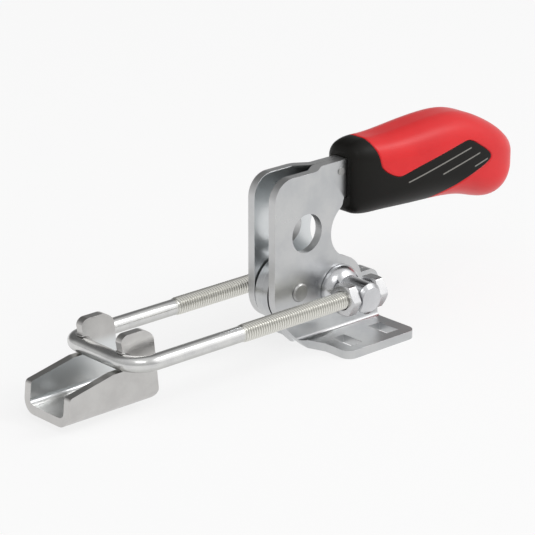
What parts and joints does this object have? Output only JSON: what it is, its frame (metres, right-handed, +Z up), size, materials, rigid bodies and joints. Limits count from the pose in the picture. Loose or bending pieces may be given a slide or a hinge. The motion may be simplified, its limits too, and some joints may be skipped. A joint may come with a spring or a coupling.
{
  "type": "toggle clamp",
  "caption": "Hook-type toggle clamp: a grip lever on an angle-plate base draws an adjustable U-bolt against a separate catch plate.",
  "frame": {"origin": "centre of the base's mounting face, between its four slots", "axes": "+X from the U-bolt's closed end towards the grip, +Z up out of the base"},
  "size_m": [0.2001, 0.044, 0.068],
  "materials": {
    "base_steel": "zinc-plated, satin",
    "lever_steel": "zinc-plated, satin",
    "pin_steel": "zinc-plated, satin",
    "turned_steel": "turned and zinc-plated",
    "nut_steel": "zinc-plated, semi-bright",
    "rod_steel": "bright zinc-plated",
    "catch_steel": "zinc-plated, satin",
    "grip_red": "hard plastic, soft sheen",
    "grip_black": "soft-touch plastic, matt"
  },
  "bodies": {
    "base": {"base_plate_near": "base_steel", "base_plate_far": "base_steel"},
    "lever": {"lever_plate_near": "lever_steel", "lever_plate_far": "lever_steel", "pivot_pin": "pin_steel", "neck_rivet": "pin_steel", "grip_hard": "grip_red", "grip_soft": "grip_black"},
    "trunnion": {"trunnion_half_near": "turned_steel", "trunnion_half_far": "turned_steel", "trunnion_axle": "pin_steel", "nut_front_near": "nut_steel", "nut_front_far": "nut_steel", "nut_rear_near": "nut_steel", "nut_rear_far": "nut_steel"},
    "draw_bolt": {"u_bolt": "rod_steel", "catch_plate": "catch_steel"}
  },
  "joints": [
    {"name": "lever_pivot", "type": "hinge", "parent": "base", "child": "lever", "pos_m": [-0.0235, 0, 0.0215], "axis": [0, -1, 0], "range_deg": [0, 105]},
    {"name": "trunnion_swing", "type": "hinge", "parent": "lever", "child": "trunnion", "pos_m": [-0.0061, 0, 0.019], "axis": [0, -1, 0], "range_deg": [-105, 0]},
    {"name": "bolt_adjust", "type": "slide", "parent": "trunnion", "child": "draw_bolt", "axis": [1, 0, 0], "range_m": [0, 0.015]}
  ],
  "couplings": [
    {"joint": "trunnion_swing", "follows": "lever_pivot", "ratio": -1}
  ]
}
